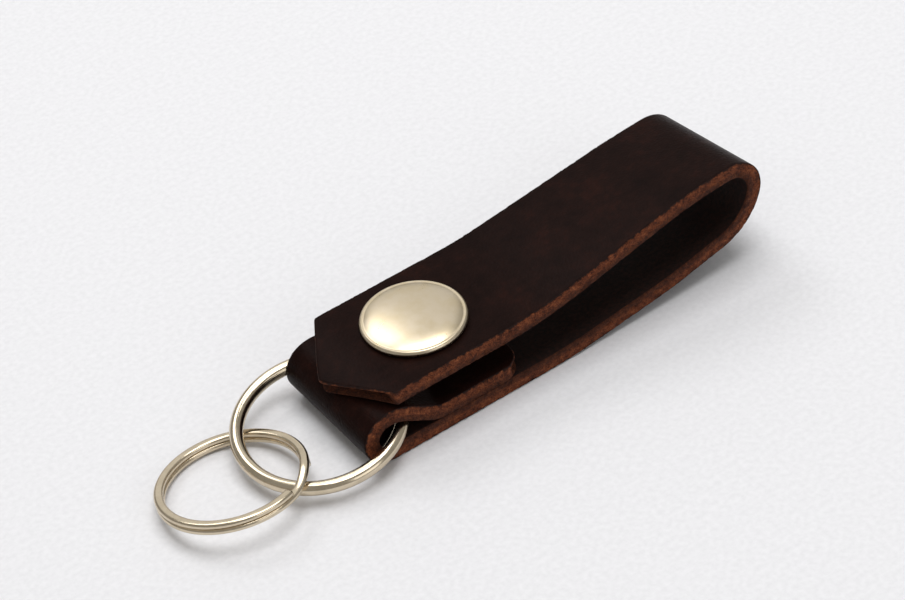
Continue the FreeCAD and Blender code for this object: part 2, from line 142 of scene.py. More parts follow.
def add_node(tree: bpy.types.NodeTree, kind: str, inputs: dict | None = None,
             stops: list[tuple[float, str]] | None = None, **settings) -> bpy.types.NodeOutputs:
    """Add a shader node, set it up and link it.

    Args:
        tree: the material's node tree.
        kind: the node's Blender type name, after ShaderNode.
        inputs: sockets and what goes into them, as feed takes them.
        stops: place and sRGB hex colour of each stop, for a node that has a ramp.
        settings: the node's own properties.

    Returns:
        The new node's outputs.
    """
    node = tree.nodes.new("ShaderNode" + kind)
    for name, value in settings.items():
        setattr(node, name, value)
    feed(tree, node, inputs or {})
    for number, (place, colour) in enumerate(stops or []):
        elements = node.color_ramp.elements
        element = elements[number] if number < len(elements) else elements.new(place)
        element.position = place
        element.color = linear(colour)
    return node.outputs


def per_metre(millimetres: float) -> float:
    """Noise scale that gives features of about this size."""
    return 1 / (millimetres * MM)


@dataclass(frozen=True)
class Finish:
    """A material whose nodes follow from its sizes in millimetres and its sRGB colours."""

    name: str

    def build(self) -> Material:
        """Make the material: a principled shader fed by this finish's own nodes."""
        material = bpy.data.materials.new(self.name)
        material.use_nodes = True
        tree = material.node_tree
        tree.nodes.clear()
        shader = tree.nodes.new("ShaderNodeBsdfPrincipled")
        add = partial(add_node, tree)
        add("OutputMaterial", {"Surface": shader.outputs[0]})
        feed(tree, shader, self.sockets(add, add("TexCoord")["Object"]))
        return material

    def sockets(self, add: Callable, where: Socket) -> dict:
        """Add the finish's nodes.

        Args:
            add: add_node for this material's tree.
            where: the socket that gives places on the piece.

        Returns:
            What feeds each of the shader's sockets.
        """
        raise NotImplementedError


@dataclass(frozen=True)
class GrainLeather(Finish):
    """Vegetable-tanned cowhide, drum-dyed dark brown, plated and waxed on its grain side.

    The eye sees a nearly black brown with fine pebbles that catch small grey glints where the
    light grazes it, a slow reddish mottle, and short creases across the tight bends.
    """

    name: str = "waxed_grain_leather"
    deep: str = "#140907"
    middle: str = "#1c0e0b"
    warm: str = "#28130e"
    pebble_mm: float = 0.34
    crease_mm: float = 1.5
    mottle_mm: float = 7.0
    relief_mm: float = 0.05
    roughness: float = 0.33
    furrow_roughness: float = 0.41
    specular: float = 0.028

    def sockets(self, add: Callable, where: Socket) -> dict:
        """Add the finish's nodes, and say what feeds the shader."""
        mottle = add("TexNoise", {
            "Vector": where, "Scale": per_metre(self.mottle_mm), "Detail": 6.0, "Roughness": 0.62})
        fine = add("TexNoise", {
            "Vector": where, "Scale": per_metre(self.crease_mm), "Detail": 6.0, "Roughness": 0.65})
        pebbles = add("TexVoronoi", {
            "Vector": where, "Scale": per_metre(self.pebble_mm), "Randomness": 0.9}, feature="SMOOTH_F1")
        hill = add("MapRange", {
            "Value": pebbles["Distance"], "From Min": 0.1, "From Max": 0.75, "To Min": 1.0, "To Max": 0.0})
        tone = add("Mix", {0: 0.4, 2: mottle["Fac"], 3: fine["Fac"]}, data_type="FLOAT")
        base = add("ValToRGB", {"Fac": tone[0]},
                   [(0.36, self.deep), (0.52, self.middle), (0.68, self.warm)])
        rough = add("MapRange", {
            "Value": hill[0], "To Min": self.furrow_roughness, "To Max": self.roughness})
        grain = add("Math", {0: fine["Fac"], 1: 0.35, 2: hill[0]}, operation="MULTIPLY_ADD")
        relief = add("Math", {0: self.creases(add, where), 1: grain[0]}, operation="ADD")
        bump = add("Bump", {"Strength": 0.45, "Distance": self.relief_mm * MM, "Height": relief[0]})
        return {"Base Color": base[0], "Roughness": rough[0],
                "Specular IOR Level": self.specular, "Normal": bump[0]}

    def creases(self, add: Callable, where: Socket) -> Socket:
        """Creases across a tight bend: long cells along Y, only where bend_share is high.

        Args:
            add: add_node for this material's tree.
            where: the socket that gives places on the piece.

        Returns:
            The socket with the creases' height.
        """
        drawn_out = add("Mapping", {"Vector": where, "Scale": (1.0, 0.22, 1.0)})
        cells = add("TexVoronoi", {"Vector": drawn_out[0], "Scale": per_metre(self.crease_mm / 2)},
                    feature="DISTANCE_TO_EDGE")
        furrow = add("MapRange", {
            "Value": cells["Distance"], "From Max": 0.14, "To Min": -1.5, "To Max": 0.0})
        bent = add("Attribute", attribute_name="bend_share")
        held = add("Math", {0: furrow[0], 1: bent["Fac"]}, operation="MULTIPLY")
        return held[0]


@dataclass(frozen=True)
class CutEdge(Finish):
    """Side of the hide where the blade went through: raw fibre between two dyed faces.

    The eye sees rough orange brown with near-black cracks and pale fibre tips, and a dark line
    along each face where the dye soaked in.
    """

    name: str = "raw_cut_edge"
    crack: str = "#1c0a06"
    dark: str = "#452010"
    mid: str = "#6c3820"
    pale: str = "#9a5a34"
    dyed: str = "#1d0e0a"
    fibre_mm: float = 0.22
    fleck_mm: float = 0.8
    relief_mm: float = 0.22
    roughness: float = 0.85
    specular: float = 0.22

    def sockets(self, add: Callable, where: Socket) -> dict:
        """Add the finish's nodes, and say what feeds the shader."""
        fibre = add("TexNoise", {
            "Vector": where, "Scale": per_metre(self.fibre_mm), "Detail": 5.0, "Roughness": 0.75})
        flecks = add("TexNoise", {
            "Vector": where, "Scale": per_metre(self.fleck_mm), "Detail": 5.0, "Roughness": 0.7})
        tone = add("Mix", {0: 0.5, 2: fibre["Fac"], 3: flecks["Fac"]}, data_type="FLOAT")
        colour = add("ValToRGB", {"Fac": tone[0]},
                     [(0.34, self.crack), (0.44, self.dark), (0.53, self.mid), (0.66, self.pale)])
        depth = add("Attribute", attribute_name="depth_share")
        wander = add("Math", {0: flecks["Fac"], 1: -0.5}, operation="ADD")
        level = add("Math", {0: wander[0], 1: 0.35, 2: depth["Fac"]}, operation="MULTIPLY_ADD")
        soaked = add("ValToRGB", {"Fac": level[0]}, [
            (0.03, "#ffffff"), (0.12, "#000000"), (0.52, "#000000"), (0.68, "#b4b4b4"), (1.0, "#cfcfcf")])
        dyed = add("Mix", {0: soaked[0], 6: colour[0], 7: linear(self.dyed)}, data_type="RGBA")
        bump = add("Bump", {"Strength": 0.9, "Distance": self.relief_mm * MM, "Height": tone[0]})
        return {"Base Color": dyed[2], "Roughness": self.roughness,
                "Specular IOR Level": self.specular, "Normal": bump[0]}


@dataclass(frozen=True)
class FleshSide(Finish):
    """Inner side of the hide, dyed through and rubbed down with gum.

    The eye sees a dull, very dark brown with short fibres lying flat.
    """

    name: str = "rubbed_flesh_side"
    dark: str = "#120805"
    pale: str = "#2b140d"
    fibre_mm: float = 0.6
    relief_mm: float = 0.12
    roughness: float = 0.75
    specular: float = 0.2

    def sockets(self, add: Callable, where: Socket) -> dict:
        """Add the finish's nodes, and say what feeds the shader."""
        fibre = add("TexNoise", {
            "Vector": where, "Scale": per_metre(self.fibre_mm), "Detail": 6.0, "Roughness": 0.7})
        base = add("ValToRGB", {"Fac": fibre["Fac"]}, [(0.38, self.dark), (0.66, self.pale)])
        bump = add("Bump", {"Strength": 0.6, "Distance": self.relief_mm * MM, "Height": fibre["Fac"]})
        return {"Base Color": base[0], "Roughness": self.roughness,
                "Specular IOR Level": self.specular, "Normal": bump[0]}


@dataclass(frozen=True)
class Nickel(Finish):
    """Nickel plate over steel or brass, polished or satin, with a warm champagne tint.

    The eye sees a mirror softened by handling: faint smears and hairlines.
    """

    colour: str = "#d6c8b0"
    dull: str = "#cabca4"
    roughness: float = 0.13
    smear: float = 0.08
    smear_mm: float = 2.4
    hairline_mm: float = 0.15
    relief_mm: float = 0.01

    def sockets(self, add: Callable, where: Socket) -> dict:
        """Add the finish's nodes, and say what feeds the shader."""
        smears = add("TexNoise", {
            "Vector": where, "Scale": per_metre(self.smear_mm), "Detail": 5.0, "Roughness": 0.6})
        base = add("ValToRGB", {"Fac": smears["Fac"]}, [(0.35, self.dull), (0.6, self.colour)])
        rough = add("MapRange", {
            "Value": smears["Fac"], "From Min": 0.3, "From Max": 0.7, "To Min": self.roughness,
            "To Max": self.roughness + self.smear})
        hairs = add("TexNoise", {"Vector": where, "Scale": per_metre(self.hairline_mm), "Detail": 2.0})
        bump = add("Bump", {"Strength": 0.05, "Distance": self.relief_mm * MM, "Height": hairs["Fac"]})
        return {"Base Color": base[0], "Metallic": 1.0, "Roughness": rough[0], "Normal": bump[0]}


@dataclass(frozen=True)
class MattPaper(Finish):
    """Uncoated white paper on the table: the eye sees a plain pale ground with a faint tooth."""

    name: str = "matt_white_paper"
    dark: str = "#e6e6e9"
    light: str = "#eeeef1"
    tooth_mm: float = 0.8
    roughness: float = 0.9

    def sockets(self, add: Callable, where: Socket) -> dict:
        """Add the finish's nodes, and say what feeds the shader."""
        tooth = add("TexNoise", {"Vector": where, "Scale": per_metre(self.tooth_mm), "Detail": 3.0})
        base = add("ValToRGB", {"Fac": tooth["Fac"]}, [(0.3, self.dark), (0.7, self.light)])
        return {"Base Color": base[0], "Roughness": self.roughness}


# ------------------------------------------------------------------ meshes
def grid_faces(index: Array) -> Array:
    """Quads between neighbouring rows and columns of a grid of vertex numbers."""
    corners = [index[:-1, :-1], index[:-1, 1:], index[1:, 1:], index[1:, :-1]]
    return np.stack(corners, axis=-1).reshape(-1, 4)


def make_piece(name: str, points: Array, faces: Array, materials: list[Material],
               face_material: Array | None = None, sharp_pairs: Array | None = None,
               values: dict[str, Array] | None = None) -> Piece:
    """Turn arrays into a smooth-shaded object with its faces pointing outwards.

    Args:
        name: the object's name.
        points: vertex places in millimetres, one row each.
        faces: vertex numbers, four to a face.
        materials: the finishes, in the order of face_material's numbers.
        face_material: which finish each face has.
        sharp_pairs: vertex pairs whose edges stay crisp.
        values: named numbers for each vertex, for the materials to read.

    Returns:
        The new object, linked to the scene.
    """
    a, b, c, d = (points[faces[:, k]] for k in range(4))
    volume = np.einsum("ij,ij->i", a, np.cross(b, c)).sum() + np.einsum("ij,ij->i", a, np.cross(c, d)).sum()
    if volume < 0:
        faces = faces[:, ::-1]
    mesh = bpy.data.meshes.new(name)
    mesh.from_pydata((points * MM).tolist(), [], faces.tolist())
    for material in materials:
        mesh.materials.append(material)
    mesh.polygons.foreach_set("use_smooth", np.ones(len(faces), dtype=bool))
    if face_material is not None:
        mesh.polygons.foreach_set("material_index", face_material.astype(np.int32))
    for key, numbers in (values or {}).items():
        attribute = mesh.attributes.new(key, "FLOAT", "POINT")
        attribute.data.foreach_set("value", numbers.astype(np.float32))
    if sharp_pairs is not None and len(sharp_pairs):
        ends = np.zeros(len(mesh.edges) * 2, dtype=np.int64)
        mesh.edges.foreach_get("vertices", ends)
        ends = np.sort(ends.reshape(-1, 2), axis=1)
        wanted = np.sort(np.asarray(sharp_pairs), axis=1)
        many = len(points)
        mesh.edges.foreach_set("use_edge_sharp", np.isin(ends[:, 0] * many + ends[:, 1],
                                                         wanted[:, 0] * many + wanted[:, 1]))
    mesh.validate()
    mesh.update()
    piece = bpy.data.objects.new(name, mesh)
    bpy.context.scene.collection.objects.link(piece)
    LOG.info("%s: %d faces", name, len(faces))
    return piece


def turned_piece(name: str, profile: Array, steps: int, material: Material) -> Piece:
    """Turn a closed (radius, height) profile about the snap's axis.

    A point is (r cos a, r sin a, z) for each profile point (r, z) and angle a. The points on
    the axis are merged, which closes the two poles.

    Args:
        name: the object's name.
        profile: radius and height pairs in order, starting and ending on the axis.
        steps: how many angles make the full turn.
        material: the finish.

    Returns:
        The new object.
    """
    angle = np.linspace(0, 2 * math.pi, steps, endpoint=False)
    r, z = profile[:, 0][:, None], profile[:, 1][:, None]
    ring = np.stack([r * np.cos(angle), r * np.sin(angle), z + 0 * angle], axis=-1)
    index = np.arange(len(profile) * steps).reshape(len(profile), steps)
    piece = make_piece(name, ring.reshape(-1, 3), grid_faces(np.hstack([index, index[:, :1]])), [material])
    work = bmesh.new()
    work.from_mesh(piece.data)
    bmesh.ops.remove_doubles(work, verts=work.verts, dist=1e-4 * MM)
    work.to_mesh(piece.data)
    work.free()
    return piece


# ------------------------------------------------------------------ routes
class Route:
    """Line in the XZ plane made of straight runs and tangent arcs, sampled stretch by stretch."""

    def __init__(self, x: float, z: float, heading: float) -> None:
        """Start at a point, facing a heading in degrees above +X."""
        self.at = np.array([x, z], dtype=float)
        self.heading = heading
        self.stretches: list[tuple[float, Array, float, float, float]] = []

    @staticmethod
    def toward(heading: float | Array) -> Array:
        """Unit vector or vectors of a heading in degrees."""
        angle = np.radians(heading)
        return np.stack([np.cos(angle), np.sin(angle)], axis=-1)

    def line(self, length: float) -> "Route":
        """Add a straight run."""
        self.stretches.append((length, self.at.copy(), self.heading, 0.0, 0.0))
        self.at = self.at + self.toward(self.heading) * length
        return self

    def arc(self, radius: float, turn: float) -> "Route":
        """Add a tangent arc, anticlockwise for a positive turn in degrees."""
        length = radius * abs(math.radians(turn))
        self.stretches.append((length, self.at.copy(), self.heading, turn, radius))
        side = math.copysign(90, turn)
        centre = self.at + self.toward(self.heading + side) * radius
        self.heading += turn
        self.at = centre - self.toward(self.heading + side) * radius
        return self

    def corner(self, corner: Array, after: Array, radius: float) -> "Route":
        """Run to a corner and round it, ready to run on to the next point."""
        away = after - corner
        turn = (math.degrees(math.atan2(away[1], away[0])) - self.heading + 180) % 360 - 180
        tangent = radius * math.tan(math.radians(abs(turn) / 2))
        return self.line(float(np.hypot(*(corner - self.at))) - tangent).arc(radius, turn)

    def sample(self, counts: list[int]) -> tuple[Array, Array]:
        """Points and headings, with so many steps along each stretch.

        A point on an arc is its centre minus the radius along the side direction; a point on a
        run is its start plus its share of the length.

        Args:
            counts: steps along each stretch.

        Returns:
            Places (x, z) and headings in degrees, without the route's last point.
        """
        places, headings = [], []
        for (length, start, heading, turn, radius), count in zip(self.stretches, counts):
            share = np.arange(count) / count
            here = heading + turn * share
            if radius:
                side = math.copysign(90, turn)
                centre = start + self.toward(heading + side) * radius
                places.append(centre - self.toward(here + side) * radius)
            else:
                places.append(start + self.toward(heading) * (length * share)[:, None])
            headings.append(here)
        return np.vstack(places), np.concatenate(headings)


# ------------------------------------------------------------------ the strap
@dataclass(frozen=True)
class LoopSide:
    """Heights of the belt loop along one cut side of the strap."""

    top: float
    lift: float
    end_slope: float


@dataclass(frozen=True)
class Drop:
    """How the fold-back comes down: where it starts, its bend, its slope and its hollow sweep."""

    start: float
    bend: float
    fall: float
    sweep: float


@dataclass(frozen=True)
class Seats:
    """How the snap's parts sit in the leather: a margin round each and the room over it."""

    flange_margin: float = 0.5
    flange_fade: float = 0.45
    flange_depth: float = 0.3
    flange_reach: float = 0.4
    stud_margin: float = 0.15
    stud_room: float = 0.03
    socket_margin: float = 0.2
    socket_room: float = 0.08
    thinning: float = 0.5


@dataclass
class Strap:
    """One leather strap: pointed flap, round loop end, lower run, front fold and fold-back.

    The strap is one surface, point(u, y, w): u runs along it from the tip, y across it and w
    through it from the flesh side (0) to the grain side (1). Three pieces are cut from it.
    """

    grain: Material
    cut: Material
    flesh: Material
    thickness: float = 2.4
    clearance: float = 0.15
    flat: float = 8.0
    pocket: float = 3.7
    fold_front: float = -15.8
    fold_top_fall: float = 3.0
    fold_back_end: float = 10.5
    fold_back_corner: float = 3.5
    middle_drop: Drop = Drop(-5.7, 1.2, 58.0, 1.0)
    side_drop: Drop = Drop(-10.8, 3.0, 31.0, 2.5)
    tip: float = -15.4
    point: float = 5.8
    tip_drop: float = 15.0
    tip_curl: float = 22.0
    loop_turn: float = 47.0
    upper_corner: float = 14.0
    upper_shoulder: float = 40.0
    upper_end_slope: float = 4.0
    lower_corner: float = 18.0
    lower_shoulder: float = 36.0
    bend_top_turn: float = 108.0
    bend_ratio: float = 2.0
    blend_radius: float = 60.0
    near: LoopSide = LoopSide(16.6, 2.2, 13.0)
    far: LoopSide = LoopSide(13.8, 0.5, 6.0)
    step: float = 0.4
    columns: int = 46
    edge_round: float = 0.30
    corner_rows: int = 5
    side_rows: int = 7
    smoothing: float = 0.5
    bow_rows: int = 5
    point_nose: float = 0.5
    point_fade: float = 26.0
    corner_fade: float = 9.0
    corner_share: float = 0.999
    roughness: float = 0.07
    seed: int = 11
    crease_radius: float = 2.6
    crease_start: float = 0.45
    seats: Seats = Seats()
    borders: dict[str, tuple[Array, Array]] = field(default_factory=dict)

    def __post_init__(self) -> None:
        """Work out the heights and sample the strap's two sides."""
        low, high = box_mm("strap_flap")
        self.half_width = float(high[1] - low[1]) / 2
        self.half = self.thickness / 2
        self.fold_height = self.pocket + 2 * self.thickness
        self.fold_centre = self.fold_front + self.pocket / 2 + self.thickness
        reach = self.fold_centre + self.flat
        curl_fall = self.tip_curl - math.sqrt(self.tip_curl ** 2 - reach ** 2)
        self.flap_under = self.fold_height + self.clearance + curl_fall
        self.rings = RingPlaces()
        self.lay_out()

    # -- routes of the two sides
    def upper(self, side: LoopSide) -> Route:
        """Flap and upper run, from the tip to the start of the tight bend."""
        height = self.flap_under + self.half
        back = Route(0.0, height, 180.0).line(self.flat).arc(self.tip_curl, self.tip_drop)
        slant = (back.at[0] - self.tip) / math.cos(math.radians(self.tip_drop))
        back.line(slant)
        route = Route(back.at[0], back.at[1], self.tip_drop)
        route.line(slant).arc(self.tip_curl, -self.tip_drop).line(self.flat)
        turn = np.array([self.loop_turn, side.top])
        slope = Route.toward(self.upper_end_slope)
        shoulder = turn - slope * (self.loop_turn - self.upper_shoulder) / slope[0]
        route.corner(np.array([self.upper_corner, height]), shoulder, self.blend_radius)
        route.corner(shoulder, turn, self.blend_radius)
        return route.line(float(np.hypot(*(turn - route.at))))

    def bend(self, side: LoopSide) -> Route:
        """Round end: a tight bend, then a wide one that lands on the lower run's line."""
        slope = math.radians(side.end_slope)
        first = math.radians(self.upper_end_slope)
        middle = math.radians(self.upper_end_slope - self.bend_top_turn)
        ratio = self.bend_ratio
        fall = (math.cos(middle) - math.cos(first)) - ratio * (math.cos(slope) + math.cos(middle))
        reach = (math.sin(first) - math.sin(middle)) + ratio * (math.sin(middle) + math.sin(slope))
        line_height = self.half + side.lift + (self.loop_turn - self.lower_shoulder) * math.tan(slope)
        radius = (line_height - side.top) / (fall - reach * math.tan(slope))
        route = Route(self.loop_turn, side.top, self.upper_end_slope).arc(radius, -self.bend_top_turn)
        rest = 180 + self.upper_end_slope - side.end_slope - self.bend_top_turn
        return route.arc(radius * ratio, -rest)

    def lower(self, side: LoopSide) -> Route:
        """Lower run and front fold, from the end of the bend to the top of the pocket."""
        start = self.bend(side).at
        route = Route(start[0], start[1], 180 + side.end_slope)
        shoulder = np.array([self.lower_shoulder, self.half + side.lift])
        corner = np.array([self.lower_corner, self.half])
        route.corner(shoulder, corner, self.blend_radius)
        route.corner(corner, np.array([0.0, self.half]), self.blend_radius)
        route.line(route.at[0] - self.fold_centre)
        return route.arc(self.pocket / 2 + self.half, -(180 + self.fold_top_fall))

    def fold_back(self, drop: Drop, start: Array) -> Route:
        """Underside of the fold-back, from the top of the pocket to its end.

        Args:
            drop: how it comes down behind the pocket.
            start: the top of the pocket.

        Returns:
            The route of the flesh side.
        """
        route = Route(start[0], start[1], -self.fold_top_fall)
        route.line((drop.start - start[0]) / math.cos(math.radians(self.fold_top_fall)))
        route.arc(drop.bend, self.fold_top_fall - drop.fall)
        sweep = drop.sweep + self.thickness
        fall = math.radians(drop.fall)
        sunk = sweep * (1 - math.cos(fall))
        route.line((route.at[1] - self.thickness - sunk) / math.sin(fall)).arc(sweep, drop.fall)
        return route.line(self.fold_back_end - route.at[0])

    def lay_out(self) -> None:
        """Sample the near, far and middle lines, flesh and grain, and note where pieces meet."""
        parts = [(part(self.near), part(self.far)) for part in (self.upper, self.bend, self.lower)]
        lines: dict[str, list[Array]] = {f"{key}_{face}": [] for key in ("near", "far", "middle")
                                         for face in ("flesh", "grain")}
        joints = []
        for near, far in parts:
            counts = [max(2, round(stretch[0] / self.step)) for stretch in near.stretches]
            for face, sign in (("flesh", -1), ("grain", 1)):
                both = []
                for key, route in (("near", near), ("far", far)):
                    place, heading = route.sample(counts)
                    both.append(place + sign * Route.toward(heading + 90) * self.half)
                    lines[f"{key}_{face}"].append(both[-1])
                lines[f"middle_{face}"].append((both[0] + both[1]) / 2)
            joints.append(sum(len(rows) for rows in lines["near_flesh"]))
        end = parts[-1][0]
        start = end.at - Route.toward(end.heading + 90) * self.half
        drops = {"near": self.side_drop, "middle": self.middle_drop, "far": self.side_drop}
        routes = {key: self.fold_back(drop, start) for key, drop in drops.items()}
        lengths = zip(routes["near"].stretches, routes["middle"].stretches)
        counts = [max(3, round(max(a[0], b[0]) / self.step)) for a, b in lengths]
        for key, route in routes.items():
            place, heading = route.sample(counts)
            place, heading = np.vstack([place, route.at]), np.append(heading, 0.0)
            lines[key + "_flesh"].append(place)
            lines[key + "_grain"].append(place + Route.toward(heading + 90) * self.thickness)
        self.lines = {key: self.smoothed(np.vstack(rows)) for key, rows in lines.items()}
        spine = (self.lines["near_flesh"] + self.lines["near_grain"]) / 2
        along = np.hypot(*np.diff(spine, axis=0).T)
        self.u = np.concatenate([[0.0], np.cumsum(along)])
        self.flap_end, self.bend_end = float(self.u[joints[0]]), float(self.u[joints[1]])
        heading = np.unwrap(np.arctan2(*np.diff(self.lines["near_grain"], axis=0).T[::-1]))
        turning = np.abs(np.gradient(heading) / np.maximum(along, self.step / 2))
        self.tightness = np.append(turning, 0.0)

    def smoothed(self, line: Array) -> Array:
        """Soften a line's corners: each point is the bell-weighted mean of those around it."""
        reach = math.ceil(3 * self.smoothing / self.step)
        offset = np.arange(-reach, reach + 1)
        bell = np.exp(-0.5 * (offset * self.step / self.smoothing) ** 2)
        first = 2 * line[0] - line[reach:0:-1]
        last = 2 * line[-1] - line[-2:-reach - 2:-1]
        padded = np.vstack([first, line, last])
        bell = bell / bell.sum()
        return np.stack([np.convolve(padded[:, k], bell, mode="valid") for k in range(2)], axis=1)

    # -- the surface
    def surface(self, u: Array, y: Array, w: Array) -> Array:
        """Places on the strap.

        Each sampled line is read at u. A point lies between the near and the far line by its
        share across, plus what the middle line stands proud of their mean, which fades to
        nothing at the sides; w blends the flesh side with the grain side.

        Args:
            u: distance along the strap.
            y: place across it.
            w: share of the way from the flesh to the grain.

        Returns:
            Places (x, y, z).
        """
        def read(key: str) -> Array:
            line = self.lines[key]
            return np.stack([np.interp(u, self.u, line[:, 0]), np.interp(u, self.u, line[:, 1])], axis=-1)

        across = ((y + self.half_width) / (2 * self.half_width))[..., None]
        proud = 1 - smooth(np.abs(y) / self.half_width)[..., None]
        faces = []
        for face in ("flesh", "grain"):
            near, far, middle = (read(f"{key}_{face}") for key in ("near", "far", "middle"))
            faces.append(near * (1 - across) + far * across + (middle - (near + far) / 2) * proud)
        flat = faces[0] + (faces[1] - faces[0]) * w[..., None]
        return np.stack([flat[..., 0], y, flat[..., 1]], axis=-1)

    def section(self) -> tuple[Array, Array]:
        """Outline of the strap's section, from the near side of the grain and round.

        The sides are straight with quarter-circle corners of edge_round.

        Returns:
            Places across (y) and through (w) for each point of the closed outline.
        """
        r, hw, t = self.edge_round, self.half_width, self.thickness
        y_flat = np.linspace(-(hw - r), hw - r, self.columns)
        bow = np.radians(np.linspace(90, 0, self.corner_rows))[1:]
        corner_y, corner_z = r * np.cos(bow), t / 2 - r + r * np.sin(bow)
        straight = np.linspace(t / 2 - r, -(t / 2 - r), self.side_rows)[1:-1]
        side_y = np.concatenate([corner_y, np.full(len(straight), r), corner_y[::-1]]) + hw - r
        side_z = np.concatenate([corner_z, straight, -corner_z[::-1]])
        y = np.concatenate([y_flat, side_y, y_flat[::-1], -side_y[::-1]])
        face_z = np.full(self.columns, t / 2)
        z = np.concatenate([face_z, side_z, -face_z, side_z[::-1]])
        self.side_count = len(side_y)
        return y, z / t + 0.5

    def stretch(self, start: float, end: float, ends: tuple[End, End],
                point_lag: float = 0.0, corner: float = 0.0) -> tuple[Array, Array, Array]:
        """Grid of (u, y, w) for one piece, one row to a section outline.

        Rounded ends close in over the last rows: by angle a from 0 to 90 degrees the outline
        shrinks by r(1 - cos a) while the row moves out by r sin a.

        Args:
            start: u of the piece's first section.
            end: u of its last section.
            ends: how the first and the last end are finished.
            point_lag: how far a pointed start's sides lag behind its middle.
            corner: radius of the two corners of the last end.

        Returns:
            Arrays of u, y and w with one row per section.
        """
        y0, w0 = self.section()
        r = self.edge_round
        round_start, round_end = (end_kind is End.EDGE for end_kind in ends)
        bow = np.radians(np.linspace(90, 0, self.bow_rows))
        count = max(3, round((end - start) / self.step))
        u_rows = np.linspace(start + r * round_start, end - r * round_end, count)
        inset = np.zeros(len(u_rows))
        if round_start:
            u_rows = np.concatenate([start + r - r * np.sin(bow[:-1]), u_rows])
            inset = np.concatenate([r * (1 - np.cos(bow[:-1])), inset])
        if round_end:
            u_rows = np.concatenate([u_rows, end - r + r * np.sin(bow[::-1][1:])])
            inset = np.concatenate([inset, r * (1 - np.cos(bow[::-1][1:]))])
        y = y0[None, :] * (1 - inset / self.half_width)[:, None]
        w = 0.5 + (w0[None, :] - 0.5) * (1 - 2 * inset / self.thickness)[:, None]
        u = np.repeat(u_rows[:, None], len(y0), axis=1)
        if point_lag:
            lag = point_lag * (np.sqrt(y ** 2 + self.point_nose ** 2) - self.point_nose) / self.half_width
            u = u + lag * (1 - smooth((u_rows - start) / self.point_fade))[:, None]
        if corner:
            past = np.clip(np.abs(y) - (self.half_width - corner), 0, corner * self.corner_share)
            lag = corner - np.sqrt(corner ** 2 - past ** 2)
            u = u - lag * smooth((u_rows - (end - self.corner_fade)) / self.corner_fade)[:, None]
        return u, y, w

    def cap(self, ring: Array, count: int) -> tuple[Array, Array, Array]:
        """Close a section outline with a grid.

        Row k of the grid is the blend of the outline's grain row and flesh row by k's share.

        Args:
            ring: vertex numbers of the outline.
            count: number of vertices already used.

        Returns:
            Grid of vertex numbers, and for the new inner ones the two outline vertices and the
            share between them.
        """
        m, s = self.columns, self.side_count
        top, right = ring[:m], ring[m:m + s]
        bottom, left = ring[m + s:2 * m + s][::-1], ring[2 * m + s:][::-1]
        grid = np.zeros((s + 2, m), dtype=np.int64)
        grid[0], grid[-1] = top, bottom
        grid[1:-1, 0], grid[1:-1, -1] = left, right
        inner = np.arange(s * (m - 2)).reshape(s, m - 2) + count
        grid[1:-1, 1:-1] = inner
        left, right = (np.broadcast_to(side[:, None], inner.shape) for side in (left, right))
        return grid, left, right

    def kinds(self, shape: tuple[int, int], ends: tuple[End, End]) -> Array:
        """Finish of each face of a stretch: 0 grain, 1 cut edge, 2 flesh."""
        count, wide = shape
        m, side = self.columns, self.side_count
        column = np.arange(wide)
        kind = np.where(column < m, 0, np.where((column >= m + side) & (column < 2 * m + side - 1), 2, 1))
        kind[-1] = 0
        kinds = np.repeat(kind[None, :], count - 1, axis=0)
        if ends[0] is End.EDGE:
            kinds[:self.bow_rows - 2] = 1
        if ends[1] is End.EDGE:
            kinds[-(self.bow_rows - 2):] = 1
        return kinds.ravel()

    def roughened(self, points: Array) -> Array:
        """Raw fibre on the cut sides: each side point moves across the strap by smoothed noise.

        The noise is one seeded random number per point, plus its neighbour's along the strap and
        half of those beside it round the section. It fades to nothing on the grain and flesh
        faces, and at the piece's ends.
        """
        noise = np.random.default_rng(self.seed).normal(size=points.shape[:2])
        beside = np.roll(noise, 1, axis=1) + np.roll(noise, -1, axis=1)
        noise = noise + np.roll(noise, 1, axis=0) + beside / 2
        row = np.arange(len(noise))
        held = smooth(np.minimum(row, row[::-1]) / self.bow_rows)[:, None]
        past = np.abs(points[..., 1]) - (self.half_width - self.edge_round)
        side = held * smooth(past / self.edge_round)
        out = points.copy()
        out[..., 1] -= np.sign(out[..., 1]) * np.abs(noise) * side * self.roughness
        return out

